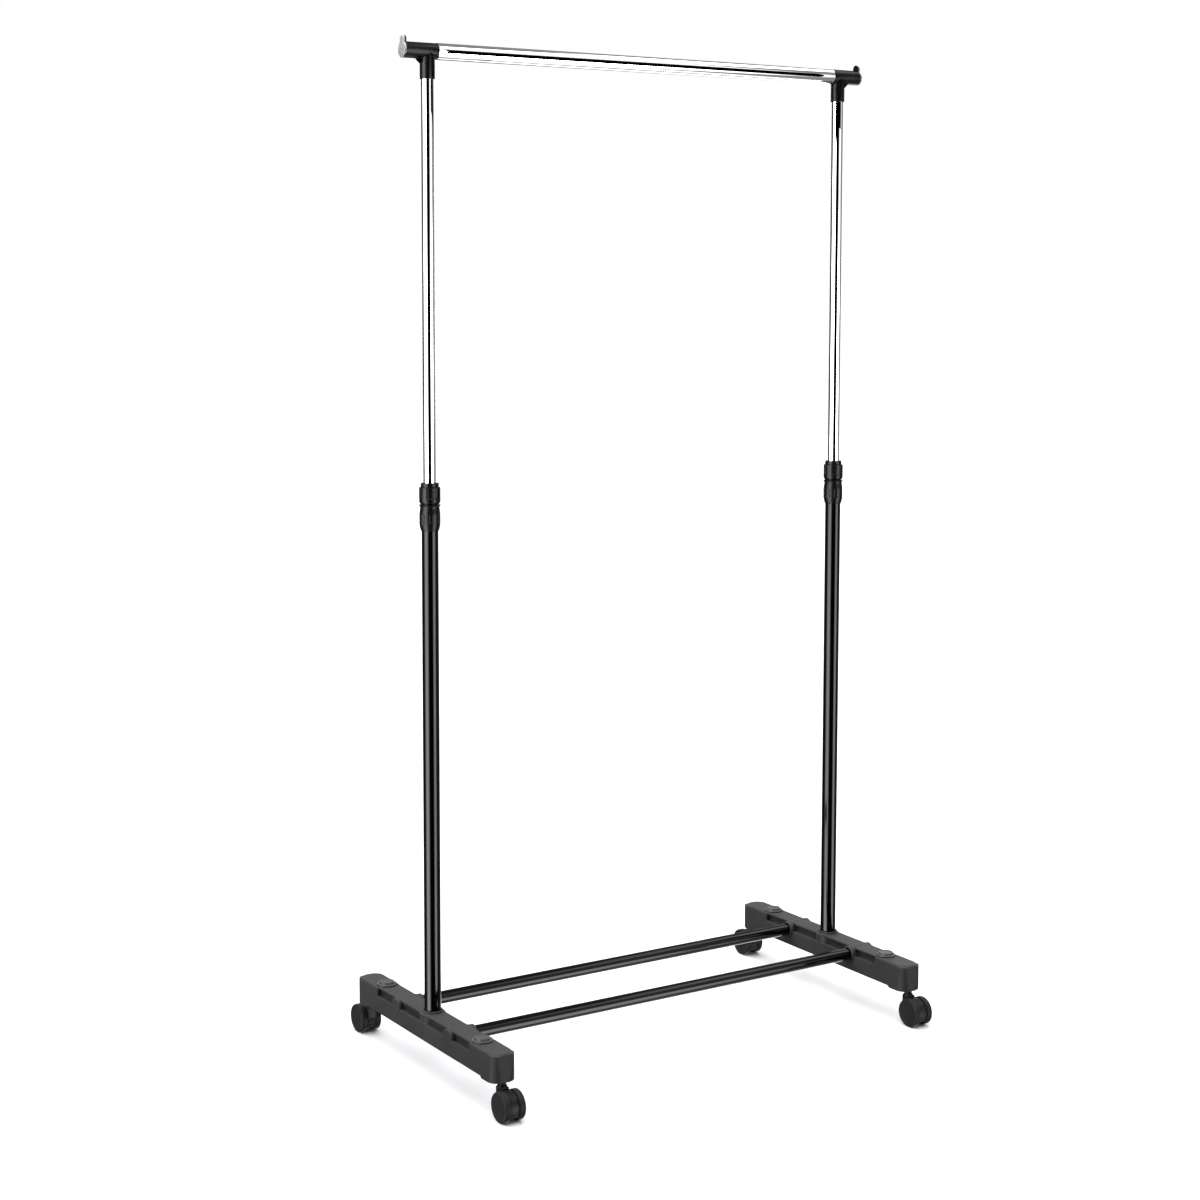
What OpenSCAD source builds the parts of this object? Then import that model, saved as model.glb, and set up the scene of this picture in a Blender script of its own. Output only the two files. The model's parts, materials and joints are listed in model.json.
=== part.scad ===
// Rolling garment rail: two moulded feet on twin-wheel casters, two base bars, two telescopic
// posts with twist-lock collars, and a hanging rail held between two tees.
// Origin: on the floor, below the middle of the rail. X runs along the rail, Y from front to back.

/* [Overall size] */
// Height from the floor to the top of the end caps
total_height = 1585; // [1480:5:1650]
// Distance between the axes of the two posts
post_spacing = 780; // [640:10:1000]
// Distance from the front to the rear caster swivels
caster_spacing = 424; // [408:4:500]

/* [Tubes] */
// Outside diameter of the hanging rail
rail_d = 25; // [24:0.5:26]
// Outside diameter of the sliding upper posts
upper_post_d = 20; // [19.5:0.5:20.5]
// Outside diameter of the fixed lower posts
lower_post_d = 26; // [25.5:0.5:26.5]
// Outside diameter of the two base bars
base_bar_d = 20; // [18:0.5:21]
// Wall thickness of every tube
tube_wall = 1.2; // [1:0.1:1.4]
// Distance from one base bar's axis to the other's
base_bar_spacing = 168; // [156:2:176]

/* [Feet] */
// Width of a foot at its lower edge
foot_width = 44; // [44:1:50]
// Height of a foot's top plate above the floor
foot_top = 98; // [97:0.5:99]
// Distance between the two plug caps on a foot
plug_spacing = 308; // [304:2:312]

/* [Casters] */
// Diameter of a caster wheel
wheel_d = 46; // [44:0.5:47]
// Width over both wheels of a caster
caster_width = 35; // [32:1:38]
// Distance from the swivel axis to the wheel axle
caster_trail = 18; // [17:0.5:19]

/* [Height adjustment] */
// Height of the top of the twist-lock collars
collar_top = 920; // [860:1:960]
// Length of upper post held inside the lower post at full height
post_overlap = 97; // [90:1:120]

/* [Hidden] */
$fn = 96;
fit_gap = 0.05;
collet_gap = 0.08;
bush_gap = 0.1;
screw_gap = 0.15;
loose_gap = 0.3;
overcut = 1;

// Plan
foot_x = post_spacing / 2;
bar_y = base_bar_spacing / 2;
plug_y = plug_spacing / 2;
caster_y = caster_spacing / 2;
caster_inset = 11;
foot_length = caster_spacing + 2 * caster_inset;

// Foot section and side outline
foot_draft = 2;
end_draft = 2.5;
foot_corner = 18;
foot_wall = 3;
foot_low = 55;
foot_lift = 3;
end_block = 74;
end_skirt = 36;
skirt_slope = 2;
deck_low = 80;
deck_top = 84;
plate_t = 3.5;
plate_low = foot_top - plate_t;
plate_inset = 1.5;
plate_step = 1.6;
window_inset = 3;
window_depth = 9.5;
rib_t = 2.4;
rib_ys = [-112, -42, 42, 112];

// Sockets in the foot
bar_z = 85.5;
bar_boss_d = base_bar_d + 6;
bar_boss_proud = 1;
bar_collar = 4;
bar_floor = 8;
post_boss_d = foot_width - 4;
post_boss_low = 62;
post_rim_d = lower_post_d + 6;
post_rim_h = 4;
post_floor = 66;
plug_bore_d = 24;
plug_boss_d = 31;
plug_boss_low = 76;
plug_flange_d = 32;
plug_flange_h = 2.5;
plug_disc_d = 25;
plug_disc_taper = 2;
plug_disc_h = 3.5;
plug_depth = 16;
stem_d = 8;
socket_d = 11.5;
socket_boss_d = 19;
socket_top = 88;

// Screws
screw_shank_d = 4;
screw_head_d = 8;
screw_head_h = 2.6;
post_screw_d = 6;
post_screw_head_d = 12;
post_plug_h = 24;

// Caster
wheel_r = wheel_d / 2;
hood_web = 14;
wheel_gap = 0.5;
wheel_w = (caster_width - hood_web) / 2 - wheel_gap;
wheel_round = 2.5;
wheel_face = 2.2;
wheel_hub_d = 13;
wheel_rim_t = 3;
wheel_ribs = 6;
wheel_rib_t = 1.6;
wheel_rib_low = 1.5;
axle_d = 5;
axle_reach = caster_width / 2 - wheel_face - wheel_gap;
hood_r = wheel_r - 1.5;
hood_back = caster_trail + hood_r;
hood_front = 7;
hood_cut_z = 9;
neck_d = 11;
saddle_d = 15;
saddle_h = 2;
saddle_z = wheel_d + 1;
neck_gap = 0.5;
stem_length = 30;
stem_spare = 2;

// Posts and collars
tongue_h = 21;
rail_z = total_height - tongue_h;
bush_h = 12;
bush_spigot = 20;
lower_post_top = collar_top - 39;
upper_post_low = lower_post_top - post_overlap + bush_h;
lower_bore_d = lower_post_d - 2 * tube_wall;
upper_bore_d = upper_post_d - 2 * tube_wall;
collar_low = collar_top - 73;
neck_od = 27;
neck_top = collar_top - 14;
// Barrel outline as pairs of diameter and height above collar_low
barrel = [[lower_post_d + 1.6, 0], [30, 4], [32.5, 10], [32.5, 26], [29.8, 35], [31, 37.5], [34.6, 40]];
pad_d = 5;
pad_depth = 0.6;
pad_low = 10.5;
pad_h = 15;
pads = 8;
nut_low = collar_top - 31.8;
nut_d = 33;
nut_rim_d = 28;
nut_rim_h = 6.5;
nut_taper_h = 3.5;
nut_edge = 1;
nut_roof = 4;
flute_d = 2.2;
flute_depth = 0.9;
flute_step = 16;
flutes = 5;
flute_groups = 3;
flute_turn = 261;
flute_inset = 8.5;
collet_low = lower_post_top + 1;
collet_top = collar_top - 5;
collet_od = 23.4;
collet_nose_d = 22.4;
collet_slot = 1.4;
collet_slots = 4;
collet_slot_h = 22;

// Tees and end caps
tee_arm_d = 24;
sleeve_d = upper_post_d + 3;
sleeve_low = rail_z - 41.5;
sleeve_socket = 23;
arm_in = 15;
spigot = 28;
arm_out = 40;
cap_t = 3;
tongue_t = 2;
tongue_w = 13;
gusset = 6;
gusset_bite = 2;
gusset_t = 10;
tee_screw_x = 24;
tee_screw_d = 5;
tee_screw_h = 1.2;
cap_pin_d = 10;
cap_pin = 10;

// ---- Helpers ----

// Cylinder along X, centred on the origin's axis, from x0 to x1
module rod_x(d, x0, x1) {
    translate([x0, 0, 0]) rotate([0, 90, 0]) cylinder(d = d, h = x1 - x0);
}

// Hollow tube standing on z0
module tube_z(od, z0, z1) {
    translate([0, 0, z0])
        difference() {
            cylinder(d = od, h = z1 - z0);
            translate([0, 0, -overcut]) cylinder(d = od - 2 * tube_wall, h = z1 - z0 + 2 * overcut);
        }
}

// Hollow tube lying along X, centred on x = 0
module tube_x(od, length) {
    difference() {
        rod_x(od, -length / 2, length / 2);
        rod_x(od - 2 * tube_wall, -length / 2 - overcut, length / 2 + overcut);
    }
}

// Rounded rectangle in plan
module round_plan(w, l, r) {
    square([w - 2 * r, l], center = true);
    square([w, l - 2 * r], center = true);
    for (x = [-1, 1], y = [-1, 1])
        translate([x * (w / 2 - r), y * (l / 2 - r)]) circle(r = r);
}

// Places a child at a side: -1 is left, 1 is right; the right one is mirrored
module at_side(side) {
    translate([side * foot_x, 0, 0])
        if (side < 0) children(); else mirror([1, 0, 0]) children();
}

// Places a child at a caster: side as above, end -1 is front and 1 is rear; trail points outwards
module at_caster(side, end) {
    translate([side * foot_x, end * caster_y, 0])
        if (end > 0) children(); else mirror([0, 1, 0]) children();
}

// ---- Feet ----

// Trapezoid section, run along the whole foot; inset thins it for the cavity
module foot_section(inset, low, high) {
    w = foot_width / 2 - inset;
    d = foot_draft * (high - low) / (foot_top - foot_low);
    translate([0, foot_length / 2 + overcut, 0]) rotate([90, 0, 0])
        linear_extrude(foot_length + 2 * overcut)
            polygon([[-w, low], [w, low], [w - d, high], [d - w, high]]);
}

// Side outline with the deeper skirts at both ends
module foot_side() {
    l = foot_length / 2;
    s = l - end_skirt;
    translate([foot_width, 0, 0]) rotate([90, 0, -90]) linear_extrude(2 * foot_width)
        polygon([[-l, foot_low], [-s, foot_low], [skirt_slope - s, foot_low + foot_lift],
                 [s - skirt_slope, foot_low + foot_lift], [s, foot_low], [l, foot_low],
                 [l - end_draft, foot_top], [end_draft - l, foot_top]]);
}

// Solid block with a shallow step all round, below the edge of the top plate
module foot_outside() {
    intersection() {
        foot_section(0, foot_low, foot_top);
        foot_side();
        union() {
            linear_extrude(foot_top - plate_step) round_plan(foot_width, foot_length, foot_corner);
            linear_extrude(foot_top + overcut)
                round_plan(foot_width - 2 * (foot_draft + plate_inset),
                           foot_length - 2 * (end_draft + plate_inset), foot_corner - plate_inset);
        }
    }
}

// Open underside, below the deck
module foot_cavity() {
    intersection() {
        foot_section(foot_wall, foot_low - overcut, deck_low);
        translate([0, 0, foot_low - overcut]) linear_extrude(deck_low - foot_low + overcut)
            round_plan(foot_width - 2 * foot_wall, foot_length - 2 * foot_wall - end_draft,
                       foot_corner - foot_wall);
    }
}

// Window pockets under the top plate on both long sides, between the end blocks
module foot_windows() {
    reach = foot_length / 2 - end_block;
    for (flip = [0, 1])
        mirror([flip, 0, 0]) {
            translate([foot_width / 2 - window_depth, -reach, deck_top])
                cube([foot_width, 2 * reach, plate_low - deck_top]);
            translate([foot_width / 2 - foot_draft - window_inset, -reach, deck_top])
                cube([foot_width, 2 * reach, foot_top]);
        }
}

// Solid bosses around the bar and post sockets, standing in the cavity and the windows
module foot_bosses() {
    side_x = foot_width / 2 - foot_draft / 2;
    for (end = [-1, 1])
        translate([0, end * bar_y, bar_z])
            rod_x(bar_boss_d, -side_x - bar_boss_proud, side_x + bar_collar);
    translate([0, 0, post_boss_low]) cylinder(d = post_boss_d, h = foot_top - post_boss_low);
    translate([0, 0, foot_top - overcut]) cylinder(d = post_rim_d, h = post_rim_h + overcut);
}

// Bosses round the plug and caster sockets, with the cross ribs under the deck
module foot_hidden_bosses() {
    for (end = [-1, 1]) {
        translate([0, end * plug_y, plug_boss_low])
            cylinder(d = plug_boss_d, h = deck_top - plug_boss_low);
        translate([0, end * caster_y, foot_low + foot_lift / 2])
            cylinder(d = socket_boss_d, h = deck_top - foot_low - foot_lift / 2);
    }
    for (y = rib_ys)
        translate([0, y, (deck_low + foot_low + 2 * foot_lift) / 2])
            cube([foot_width - 2 * foot_wall, rib_t, deck_low - foot_low - 2 * foot_lift], center = true);
}

module foot_bores() {
    for (end = [-1, 1]) {
        translate([0, end * bar_y, bar_z])
            rod_x(base_bar_d + 2 * fit_gap, bar_floor - foot_width / 2, foot_width);
        translate([0, end * bar_y, foot_low])
            cylinder(d = screw_shank_d + 2 * screw_gap, h = bar_z - foot_low);
        translate([0, end * plug_y, foot_top - plug_depth - overcut])
            cylinder(d = plug_bore_d + 2 * fit_gap, h = plug_depth + 2 * overcut);
        translate([0, end * caster_y, foot_low - overcut])
            cylinder(d = socket_d + 2 * fit_gap, h = socket_top - foot_low + overcut);
    }
    translate([0, 0, post_floor]) cylinder(d = lower_post_d + 2 * fit_gap, h = foot_top);
    translate([0, 0, foot_low]) cylinder(d = post_screw_d + 2 * screw_gap, h = foot_top);
}

module foot(side) {
    color("#3a3a3c")
        at_side(side)
            difference() {
                union() {
                    difference() {
                        foot_outside();
                        foot_cavity();
                        foot_windows();
                    }
                    intersection() {
                        foot_hidden_bosses();
                        foot_outside();
                    }
                    foot_bosses();
                }
                foot_bores();
            }
}

module plug_cap(side, end) {
    color("#4a4a4c")
        translate([side * foot_x, end * plug_y, 0]) {
            translate([0, 0, foot_top - plug_depth]) cylinder(d = plug_bore_d, h = plug_depth);
            translate([0, 0, foot_top]) cylinder(d = plug_flange_d, h = plug_flange_h);
            translate([0, 0, foot_top + plug_flange_h])
                cylinder(d1 = plug_disc_d, d2 = plug_disc_d - plug_disc_taper, h = plug_disc_h);
        }
}

module caster_socket(side, end) {
    color("gray")
        translate([side * foot_x, end * caster_y, foot_low])
            difference() {
                cylinder(d = socket_d, h = socket_top - foot_low);
                translate([0, 0, -overcut])
                    cylinder(d = stem_d + 2 * fit_gap, h = stem_length + overcut);
            }
}

// ---- Base bars and lower posts ----

module base_bar(end) {
    color("#101010")
        translate([0, end * bar_y, bar_z])
            tube_x(base_bar_d, 2 * (foot_x + foot_width / 2 - bar_floor));
}

module lower_post(side) {
    color("#101010")
        translate([side * foot_x, 0, 0]) tube_z(lower_post_d, post_floor, lower_post_top);
}

// Threaded plug in the bottom end of a lower post, which the foot's screw draws down
module post_plug(side) {
    color("dimgray")
        translate([side * foot_x, 0, post_floor])
            difference() {
                cylinder(d = lower_bore_d - 2 * fit_gap, h = post_plug_h);
                translate([0, 0, -overcut])
                    cylinder(d = post_screw_d + 2 * fit_gap, h = post_plug_h + 2 * overcut);
            }
}

module foot_post_screws() {
    color("silver")
        for (side = [-1, 1])
            translate([side * foot_x, 0, 0]) {
                translate([0, 0, post_boss_low - screw_head_h])
                    cylinder(d = post_screw_head_d, h = screw_head_h);
                translate([0, 0, post_boss_low])
                    cylinder(d = post_screw_d, h = post_floor - post_boss_low + post_plug_h);
            }
}

module base_bar_screws() {
    head_z = bar_z - bar_boss_d / 2 - screw_head_h;
    bite = bar_z - base_bar_d / 2 - loose_gap;
    color("silver")
        for (side = [-1, 1], end = [-1, 1])
            translate([side * foot_x, end * bar_y, head_z]) {
                cylinder(d = screw_head_d, h = screw_head_h);
                cylinder(d = screw_shank_d, h = bite - head_z);
            }
}

// ---- Twist-lock collars ----

// Turned outline of the fixed barrel, from the lower post up to its threaded neck
module collar_outline() {
    polygon(concat(
        [[0, collar_low]],
        [for (ring = barrel) [ring[0] / 2, collar_low + ring[1]]],
        [[neck_od / 2, collar_low + barrel[len(barrel) - 1][1]], [neck_od / 2, neck_top], [0, neck_top]]));
}

module collar(side) {
    color("#202022")
        translate([side * foot_x, 0, 0])
            difference() {
                rotate_extrude() collar_outline();
                translate([0, 0, collar_low - overcut])
                    cylinder(d = lower_post_d + 2 * fit_gap,
                             h = lower_post_top - collar_low + overcut);
                translate([0, 0, collar_low])
                    cylinder(d = collet_od + 2 * fit_gap, h = neck_top - collar_low + overcut);
                for (i = [0:pads - 1])
                    rotate([0, 0, (i + 0.5) * 360 / pads])
                        translate([barrel[2][0] / 2 + pad_d / 2 - pad_depth, 0, collar_low + pad_low])
                            cylinder(d = pad_d, h = pad_h);
            }
}

// Slotted gripping sleeve that the nut squeezes onto the upper post
module collet(side) {
    color("whitesmoke")
        translate([side * foot_x, 0, collet_low])
            difference() {
                union() {
                    cylinder(d = collet_od, h = neck_top - collet_low);
                    translate([0, 0, neck_top - collet_low])
                        cylinder(d = collet_nose_d, h = collet_top - neck_top);
                }
                translate([0, 0, -overcut])
                    cylinder(d = upper_post_d + 2 * collet_gap, h = collet_top - collet_low + 2 * overcut);
                for (i = [0:collet_slots - 1])
                    rotate([0, 0, i * 360 / collet_slots + 45])
                        translate([0, -collet_slot / 2, collet_top - collet_low - collet_slot_h])
                            cube([collet_od, collet_slot, collet_slot_h + overcut]);
            }
}

module lock_nut(side) {
    body_top = collar_top - nut_rim_h;
    color("#1c1c1e")
        translate([side * foot_x, 0, 0])
            difference() {
                rotate_extrude()
                    polygon([[0, nut_low], [nut_d / 2 - 2 * nut_edge, nut_low],
                             [nut_d / 2, nut_low + nut_taper_h], [nut_d / 2, body_top - nut_edge],
                             [nut_d / 2 - nut_edge, body_top], [nut_rim_d / 2, body_top],
                             [nut_rim_d / 2, collar_top - nut_edge],
                             [nut_rim_d / 2 - nut_edge, collar_top], [0, collar_top]]);
                translate([0, 0, nut_low - overcut])
                    cylinder(d = neck_od + 2 * loose_gap, h = neck_top - nut_low + overcut + loose_gap);
                translate([0, 0, nut_low])
                    cylinder(d = collet_od + 2 * loose_gap, h = collar_top - nut_roof - nut_low);
                translate([0, 0, nut_low])
                    cylinder(d = upper_post_d + 4 * loose_gap, h = collar_top);
                for (group = [0:flute_groups - 1], i = [0:flutes - 1])
                    rotate([0, 0, flute_turn + group * 360 / flute_groups
                                  + (i - (flutes - 1) / 2) * flute_step])
                        translate([nut_d / 2 + flute_d / 2 - flute_depth, 0, nut_low + flute_inset])
                            cylinder(d = flute_d, h = body_top - nut_low - flute_inset + overcut);
            }
}

// ---- Sliding top frame ----

module upper_post(side) {
    color("gainsboro")
        translate([side * foot_x, 0, 0])
            tube_z(upper_post_d, upper_post_low, sleeve_low + sleeve_socket);
}

// Sliding bush in the bottom end of an upper post
module post_bush(side) {
    color("#303030")
        translate([side * foot_x, 0, upper_post_low - bush_h]) {
            cylinder(d = lower_bore_d - 2 * bush_gap, h = bush_h);
            cylinder(d = upper_bore_d - 2 * fit_gap, h = bush_h + bush_spigot);
        }
}

module tongue_outline() {
    circle(d = tee_arm_d);
    translate([-tongue_w / 2, 0]) square([tongue_w, total_height - rail_z - tongue_w / 2]);
    translate([0, total_height - rail_z - tongue_w / 2]) circle(d = tongue_w);
}

// Plate standing across X with the outline of the end cap
module tongue_plate(x0, t) {
    translate([x0, 0, rail_z]) rotate([90, 0, 90]) linear_extrude(t) tongue_outline();
}

module tee(side) {
    color("#1a1a1c")
        at_side(side)
            difference() {
                union() {
                    translate([0, 0, rail_z]) {
                        rod_x(tee_arm_d, -arm_out, arm_in);
                        rod_x(rail_d - 2 * tube_wall - 2 * fit_gap, 0, arm_in + spigot);
                    }
                    translate([0, 0, sleeve_low]) cylinder(d = sleeve_d, h = rail_z - sleeve_low);
                    tongue_plate(-arm_out, tongue_t);
                    translate([gusset_bite - sleeve_d / 2, gusset_t / 2,
                               rail_z - tee_arm_d / 2 + gusset_bite])
                        rotate([90, 0, 0]) linear_extrude(gusset_t)
                            polygon([[0, 0], [-gusset - gusset_bite, 0], [0, -gusset - gusset_bite]]);
                }
                translate([0, 0, sleeve_low - overcut])
                    cylinder(d = upper_post_d + 2 * fit_gap, h = sleeve_socket + overcut);
                translate([0, 0, rail_z])
                    rod_x(cap_pin_d + 2 * fit_gap, -arm_out - overcut, cap_pin - arm_out);
                translate([-tee_screw_x, 0, rail_z]) rotate([90, 0, 0])
                    cylinder(d = tee_screw_d + 2 * fit_gap, h = tee_arm_d);
            }
}

module end_cap(side) {
    color("silver")
        at_side(side) {
            tongue_plate(-arm_out - cap_t, cap_t);
            translate([0, 0, rail_z]) rod_x(cap_pin_d, -arm_out, cap_pin - arm_out - overcut);
        }
}

module tee_screws() {
    color("#303030")
        for (side = [-1, 1])
            at_side(side)
                translate([-tee_screw_x, 0, rail_z]) rotate([90, 0, 0])
                    cylinder(d = tee_screw_d, h = tee_arm_d / 2 - tee_screw_h);
}

module top_rail() {
    color("gainsboro")
        translate([0, 0, rail_z]) tube_x(rail_d, 2 * (foot_x - arm_in));
}

// ---- Casters ----

// Side outline of the hood: a disc about the axle, run up to the swivel and cut off behind and below
module hood_outline() {
    difference() {
        union() {
            intersection() {
                translate([caster_trail, wheel_r]) circle(r = hood_r);
                translate([-hood_front, hood_cut_z]) square([hood_back + hood_front, wheel_d]);
            }
            translate([-hood_front, wheel_r]) square([hood_front + caster_trail / 2, saddle_z - wheel_r]);
        }
        translate([-hood_front, hood_cut_z]) circle(r = hood_front);
    }
}

module caster_hood(side, end) {
    color("#1c1c1e")
        at_caster(side, end)
            difference() {
                union() {
                    translate([-hood_web / 2, 0, 0]) rotate([90, 0, 90])
                        linear_extrude(hood_web) hood_outline();
                    translate([0, 0, saddle_z]) cylinder(d = saddle_d, h = saddle_h);
                }
                translate([0, 0, saddle_z + saddle_h - stem_length / 2])
                    cylinder(d = stem_d + 2 * fit_gap, h = stem_length);
                translate([0, caster_trail, wheel_r])
                    rod_x(axle_d + 2 * fit_gap, -hood_web, hood_web);
            }
}

// Swivel pin with the short round neck that shows between the hood and the foot
module caster_stem(side, end) {
    low = saddle_z + saddle_h;
    color("#2a2a2c")
        at_caster(side, end) {
            translate([0, 0, low - stem_length / 2])
                cylinder(d = stem_d, h = stem_length / 2 + foot_low - low + stem_length - stem_spare);
            translate([0, 0, low]) cylinder(d = neck_d, h = foot_low - neck_gap - low);
        }
}

module caster_axle(side, end) {
    color("silver")
        at_caster(side, end)
            translate([0, caster_trail, wheel_r]) rod_x(axle_d, -axle_reach, axle_reach);
}

// Half section of a wheel about its axle; the plain face is at the top
module wheel_outline() {
    w = wheel_w;
    difference() {
        union() {
            square([wheel_r, w - wheel_round]);
            square([wheel_r - wheel_round, w]);
            translate([wheel_r - wheel_round, w - wheel_round]) circle(r = wheel_round);
        }
        translate([-wheel_d, 0]) square([wheel_d, w]);
        translate([wheel_hub_d / 2, -overcut])
            square([wheel_r - wheel_rim_t - wheel_hub_d / 2, w - wheel_face + overcut]);
        translate([-overcut, -overcut])
            square([axle_d / 2 + fit_gap + overcut, w - wheel_face + overcut]);
    }
}

// Twin wheel: face -1 is the one on the left of the hood, 1 is the one on the right
module wheel(side, end, face) {
    color("#161618")
        at_caster(side, end)
            translate([0, caster_trail, wheel_r])
                rotate([0, face * 90, 0])
                    translate([0, 0, hood_web / 2 + wheel_gap]) {
                        rotate_extrude() wheel_outline();
                        for (i = [0:wheel_ribs - 1])
                            rotate([0, 0, (i + 0.5) * 360 / wheel_ribs])
                                translate([wheel_hub_d / 2 - overcut, -wheel_rib_t / 2, wheel_rib_low])
                                    cube([wheel_r - wheel_rim_t - wheel_hub_d / 2 + 2 * overcut, wheel_rib_t,
                                          wheel_w - wheel_face / 2 - wheel_rib_low]);
                    }
}

// ---- Nodes ----

foot(-1);  // left_foot
foot(1);  // right_foot
base_bar(-1);  // front_base_bar
base_bar(1);  // rear_base_bar
lower_post(-1);  // left_lower_post
lower_post(1);  // right_lower_post
post_plug(-1);  // left_post_plug
post_plug(1);  // right_post_plug
collar(-1);  // left_collar
collar(1);  // right_collar
collet(-1);  // left_collet
collet(1);  // right_collet
foot_post_screws();
base_bar_screws();
plug_cap(-1, -1);  // front_left_plug_cap
plug_cap(1, -1);  // front_right_plug_cap
plug_cap(-1, 1);  // rear_left_plug_cap
plug_cap(1, 1);  // rear_right_plug_cap
caster_socket(-1, -1);  // front_left_caster_socket
caster_socket(1, -1);  // front_right_caster_socket
caster_socket(-1, 1);  // rear_left_caster_socket
caster_socket(1, 1);  // rear_right_caster_socket
lock_nut(-1);  // left_lock_nut
lock_nut(1);  // right_lock_nut
upper_post(-1);  // left_upper_post
upper_post(1);  // right_upper_post
post_bush(-1);  // left_post_bush
post_bush(1);  // right_post_bush
tee(-1);  // left_tee
tee(1);  // right_tee
top_rail();
end_cap(-1);  // left_end_cap
end_cap(1);  // right_end_cap
tee_screws();
caster_stem(-1, -1);  // front_left_stem
caster_hood(-1, -1);  // front_left_hood
caster_axle(-1, -1);  // front_left_axle
wheel(-1, -1, -1);  // front_left_wheel_a
wheel(-1, -1, 1);  // front_left_wheel_b
caster_stem(1, -1);  // front_right_stem
caster_hood(1, -1);  // front_right_hood
caster_axle(1, -1);  // front_right_axle
wheel(1, -1, -1);  // front_right_wheel_a
wheel(1, -1, 1);  // front_right_wheel_b
caster_stem(-1, 1);  // rear_left_stem
caster_hood(-1, 1);  // rear_left_hood
caster_axle(-1, 1);  // rear_left_axle
wheel(-1, 1, -1);  // rear_left_wheel_a
wheel(-1, 1, 1);  // rear_left_wheel_b
caster_stem(1, 1);  // rear_right_stem
caster_hood(1, 1);  // rear_right_hood
caster_axle(1, 1);  // rear_right_axle
wheel(1, 1, -1);  // rear_right_wheel_a
wheel(1, 1, 1);  // rear_right_wheel_b
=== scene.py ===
"""Rolling garment rail: detailed meshes, materials, studio and camera round the fixed CAD frame.

Units are metres; outlines written as plain numbers are in millimetres and go through in_mm.
The rail runs along X, the camera looks from the front left, and +Z is up.
"""
import json
import math

import bmesh
import bpy
from mathutils import Matrix, Vector


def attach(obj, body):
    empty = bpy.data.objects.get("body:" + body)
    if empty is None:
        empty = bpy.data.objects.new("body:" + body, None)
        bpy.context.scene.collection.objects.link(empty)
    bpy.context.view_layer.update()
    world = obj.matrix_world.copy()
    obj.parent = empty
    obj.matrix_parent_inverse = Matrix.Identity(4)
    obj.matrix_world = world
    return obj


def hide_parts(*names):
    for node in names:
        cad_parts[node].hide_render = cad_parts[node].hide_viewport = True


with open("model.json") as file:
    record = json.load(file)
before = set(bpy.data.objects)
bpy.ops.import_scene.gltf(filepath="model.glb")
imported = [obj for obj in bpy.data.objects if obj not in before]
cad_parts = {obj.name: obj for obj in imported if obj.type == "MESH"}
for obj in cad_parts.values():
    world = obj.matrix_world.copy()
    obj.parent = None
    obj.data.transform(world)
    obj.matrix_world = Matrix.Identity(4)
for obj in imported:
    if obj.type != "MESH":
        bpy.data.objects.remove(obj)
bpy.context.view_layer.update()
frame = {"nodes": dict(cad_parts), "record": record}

MM = 0.001
TURN = 2 * math.pi
SIDES = {"left": -1, "right": 1}
ENDS = {"front": -1, "rear": 1}
BODY_OF = {node: body for body, nodes in frame["record"]["behaviour"]["bodies"].items()
           for node in nodes}
SLOT_OF = {part["node"]: part["material_slot"] for part in frame["record"]["subparts"]}


# ---------------------------------------------------------------- materials

class Nodes:
    """Short names for building a node tree: every call adds a node and returns its main output."""

    def __init__(self, tree):
        self.tree = tree
        tree.nodes.clear()

    def add(self, kind, inputs=None, **settings):
        """Adds a node and returns the node itself; inputs are sockets to link or constants."""
        node = self.tree.nodes.new(kind)
        for key, value in settings.items():
            setattr(node, key, value)
        for key, value in (inputs or {}).items():
            self.put(node.inputs[key], value)
        return node

    def put(self, socket, value):
        """Links another node's output to the socket, or sets the socket's constant."""
        if isinstance(value, bpy.types.NodeSocket):
            self.tree.links.new(value, socket)
        else:
            socket.default_value = value

    def math(self, operation, a, b=0.0, c=0.0, clamp=False):
        node = self.add("ShaderNodeMath", {0: a, 1: b, 2: c}, operation=operation, use_clamp=clamp)
        return node.outputs[0]

    def smooth(self, value, low, high, out_low=0.0, out_high=1.0):
        """Smooth step of value from low to high; low may be the larger one."""
        falling = low > high
        node = self.add("ShaderNodeMapRange",
                        {0: value, 1: min(low, high), 2: max(low, high),
                         3: out_high if falling else out_low, 4: out_low if falling else out_high},
                        interpolation_type="SMOOTHSTEP")
        return node.outputs[0]

    def noise(self, vector, scale, detail=2.0, roughness=0.5):
        """Noise with about scale cells to the metre."""
        node = self.add("ShaderNodeTexNoise",
                        {"Vector": vector, "Scale": scale, "Detail": detail, "Roughness": roughness})
        return node.outputs[0]

    def mix(self, factor, a, b):
        node = self.add("ShaderNodeMix", data_type="RGBA")
        self.put(node.inputs[0], factor)
        self.put(node.inputs[6], a)
        self.put(node.inputs[7], b)
        return node.outputs[2]


def grey(value):
    """A grey of that brightness, a trace cooler than neutral."""
    return (value, value, value * 1.02, 1.0)


def surface(name, build, **constants):
    """A material whose colour, roughness and normal come from build(nodes, object coordinates)."""
    material = bpy.data.materials.new(name)
    material.use_nodes = True
    nodes = Nodes(material.node_tree)
    place = nodes.add("ShaderNodeTexCoord").outputs["Object"]
    colour, roughness, normal = build(nodes, place)
    shader = nodes.add("ShaderNodeBsdfPrincipled",
                       {"Base Color": colour, "Roughness": roughness, "Normal": normal, **constants})
    nodes.add("ShaderNodeOutputMaterial", {"Surface": shader.outputs[0]})
    return material


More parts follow.
